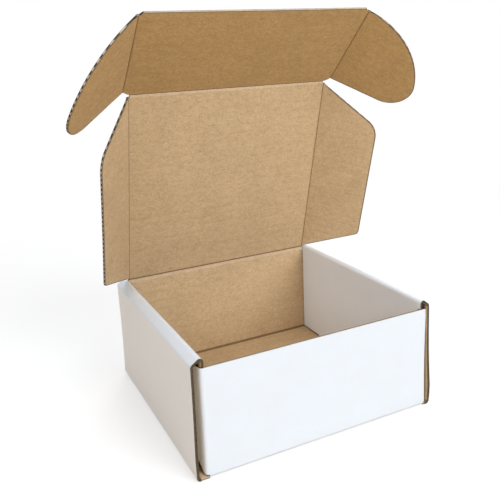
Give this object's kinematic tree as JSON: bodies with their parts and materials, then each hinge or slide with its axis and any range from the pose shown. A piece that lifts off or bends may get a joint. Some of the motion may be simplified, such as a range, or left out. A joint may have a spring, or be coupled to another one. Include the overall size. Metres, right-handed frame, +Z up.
{
  "type": "corrugated mailer box",
  "caption": "Open tuck-front corrugated mailer box with rolled side walls, a lid that leans forward, side flaps and a rounded-ear tuck flap.",
  "frame": {"origin": "middle of the underside of the tray, where the box stands", "axes": "+X to the right seen from the front, +Y to the back, where the lid is hinged, +Z up"},
  "size_m": [0.2521, 0.15, 0.2653],
  "materials": {
    "white_faced_board": "matte white outer liner over brown kraft",
    "kraft_inside_board": "matte brown kraft inner liner, white outer liner"
  },
  "bodies": {
    "tray": {"tray": "white_faced_board"},
    "lid": {"lid_panel": "kraft_inside_board"},
    "side_flap_left": {"lid_side_flap_left": "kraft_inside_board"},
    "side_flap_right": {"lid_side_flap_right": "kraft_inside_board"},
    "tuck": {"tuck_flap": "kraft_inside_board"},
    "ear_left": {"tuck_ear_left": "kraft_inside_board"},
    "ear_right": {"tuck_ear_right": "kraft_inside_board"}
  },
  "joints": [
    {"name": "lid_hinge", "type": "hinge", "parent": "tray", "child": "lid", "pos_m": [0, 0.0742, 0.0748], "axis": [1, 0, 0], "range_deg": [-105.5, 10]},
    {"name": "side_flap_left_fold", "type": "hinge", "parent": "lid", "child": "side_flap_left", "pos_m": [-0.076, 0.0742, 0.0748], "axis": [0, -0.2672, 0.9636], "range_deg": [-52, 38]},
    {"name": "side_flap_right_fold", "type": "hinge", "parent": "lid", "child": "side_flap_right", "pos_m": [0.076, 0.0742, 0.0748], "axis": [0, 0.2672, -0.9636], "range_deg": [-45, 45]},
    {"name": "tuck_fold", "type": "hinge", "parent": "lid", "child": "tuck", "pos_m": [0, 0.03508, 0.21588], "axis": [1, 0, 0], "range_deg": [-31, 59]},
    {"name": "ear_left_fold", "type": "hinge", "parent": "tuck", "child": "ear_left", "pos_m": [-0.0805, 0.0329, 0.21794], "axis": [0, -0.7254, 0.6884], "range_deg": [-40, 50]},
    {"name": "ear_right_fold", "type": "hinge", "parent": "tuck", "child": "ear_right", "pos_m": [0.0805, 0.0329, 0.21794], "axis": [0, 0.7254, -0.6884], "range_deg": [-38, 52]}
  ]
}
